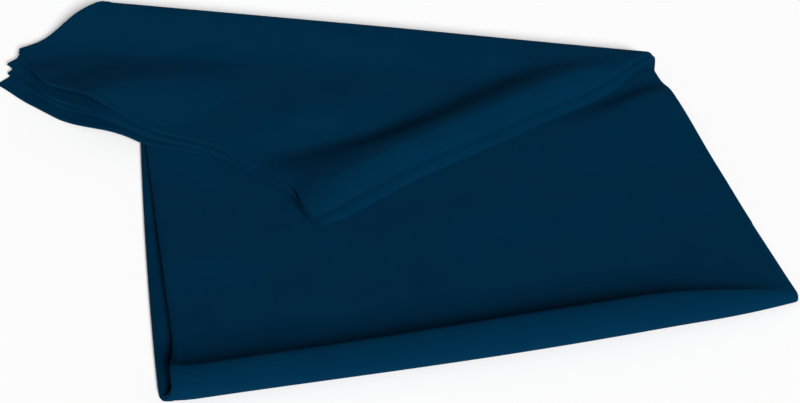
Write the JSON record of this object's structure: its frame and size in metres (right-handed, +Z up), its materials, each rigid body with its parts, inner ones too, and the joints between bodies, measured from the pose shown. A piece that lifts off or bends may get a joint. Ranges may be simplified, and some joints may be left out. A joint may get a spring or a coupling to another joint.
{
  "type": "quick dry towel",
  "caption": "Navy microfibre quick dry towel folded in four, with a soft rolled front fold and one corner turned over on a diagonal crease.",
  "frame": {"origin": "on the underside, in the middle of the part of the stack that is a full rectangle (half the folded width from either side, half the right side's length from the front)", "axes": "+X along the rolled front fold to the right, +Y away from that fold towards the diagonal crease, +Z up"},
  "size_m": [0.4922, 0.5404, 0.0251],
  "materials": {
    "towel_cloth": "matte brushed microfibre, deep navy",
    "edge_thread": "matte overlock thread, navy"
  },
  "bodies": {
    "folded_stack": {"lower_outer_panel": "towel_cloth", "lower_inner_panel": "towel_cloth", "upper_inner_panel": "towel_cloth", "upper_outer_panel": "towel_cloth", "front_fold_outer": "towel_cloth", "front_fold_inner": "towel_cloth", "side_fold_lower": "towel_cloth", "side_fold_upper": "towel_cloth", "side_fold_front": "towel_cloth", "lower_outer_hem": "edge_thread", "lower_inner_hem": "edge_thread", "upper_inner_hem": "edge_thread", "upper_outer_hem": "edge_thread", "front_fold_outer_hem": "edge_thread", "front_fold_inner_hem": "edge_thread", "crease_bend_1": "towel_cloth", "crease_bend_2": "towel_cloth", "crease_bend_3": "towel_cloth", "crease_bend_4": "towel_cloth"},
    "corner_flap": {"flap_panel_1": "towel_cloth", "flap_panel_2": "towel_cloth", "flap_panel_3": "towel_cloth", "flap_panel_4": "towel_cloth", "flap_hem_1": "edge_thread", "flap_hem_2": "edge_thread", "flap_hem_3": "edge_thread", "flap_hem_4": "edge_thread", "flap_side_fold_lower": "towel_cloth", "flap_side_fold_upper": "towel_cloth", "flap_side_hem_lower": "edge_thread", "flap_side_hem_upper": "edge_thread"}
  },
  "joints": [
    {"name": "corner_flap_turn", "type": "hinge", "parent": "folded_stack", "child": "corner_flap", "pos_m": [0.20351, 0.16463, 0.0105], "axis": [-0.8836, 0.4683, 0], "range_deg": [0, 170], "deforming": ["crease_bend_1", "crease_bend_2", "crease_bend_3", "crease_bend_4"]}
  ]
}
